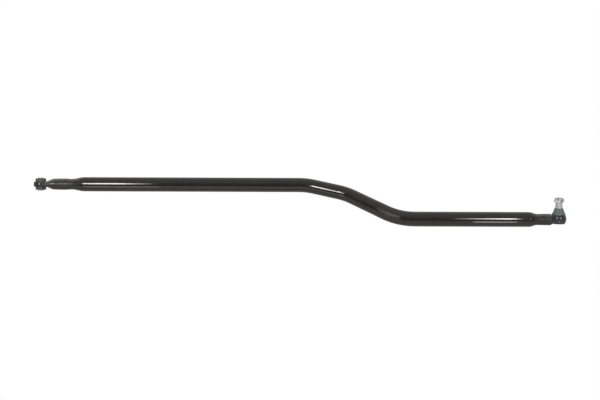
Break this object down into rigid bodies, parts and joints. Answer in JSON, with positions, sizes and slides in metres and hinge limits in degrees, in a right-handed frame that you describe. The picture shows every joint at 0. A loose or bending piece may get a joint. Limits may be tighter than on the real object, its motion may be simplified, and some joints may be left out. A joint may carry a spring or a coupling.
{
  "type": "tie rod",
  "caption": "Bent tubular tie rod with a rubber-bushed eye at one end and a greased ball joint with castle nut at the other.",
  "frame": {"origin": "centre of the bore of the bush's inner sleeve", "axes": "+X along the straight runs of the rod towards the ball joint, +Z along the bush bore and parallel to the ball stud, -Y is the side the picture is taken from"},
  "size_m": [1.6727, 0.174, 0.1406],
  "materials": {
    "black_paint": "gloss black paint on steel",
    "phosphated_steel": "dark phosphated steel",
    "bush_rubber": "matt black rubber",
    "white_plastic": "natural acetal",
    "spring_steel": "drawn spring steel",
    "stud_steel": "ground steel, lightly oiled",
    "boot_rubber": "matt blue-grey rubber",
    "zinc_plate": "bright zinc plate"
  },
  "bodies": {
    "bush_core": {"bush_inner_sleeve": "phosphated_steel"},
    "rod": {"rod_tube": "black_paint", "eye_end": "black_paint", "bush_rubber_upper": "bush_rubber", "bush_rubber_lower": "bush_rubber", "joint_housing": "black_paint", "upper_bearing_shell": "white_plastic", "lower_bearing_shell": "white_plastic", "preload_spring": "spring_steel", "cover_plate": "black_paint", "boot_lower_ring": "spring_steel"},
    "boot_wall": {"dust_boot": "boot_rubber"},
    "boot_neck": {"boot_upper_ring": "spring_steel"},
    "stud": {"ball_stud": "stud_steel", "castle_nut": "zinc_plate", "split_pin": "zinc_plate"}
  },
  "joints": [
    {"name": "bush_twist", "type": "hinge", "parent": "bush_core", "child": "rod", "pos_m": [0, 0, 0], "axis": [0, 0, 1], "range_deg": [-15, 15], "stiffness_Nm_per_rad": 60},
    {"name": "stud_swing_x", "type": "hinge", "parent": "rod", "child": "boot_wall", "pos_m": [1.627, -0.12781, -0.08858], "axis": [1, 0, 0], "range_deg": [-18, 18], "deforming": ["dust_boot"]},
    {"name": "stud_swing_y", "type": "hinge", "parent": "boot_wall", "child": "boot_neck", "pos_m": [1.627, -0.12781, -0.08858], "axis": [0, 1, 0], "range_deg": [-18, 18], "deforming": ["dust_boot"]},
    {"name": "stud_spin", "type": "hinge", "parent": "boot_neck", "child": "stud", "pos_m": [1.627, -0.12781, -0.08858], "axis": [0, 0, 1], "continuous": true}
  ]
}
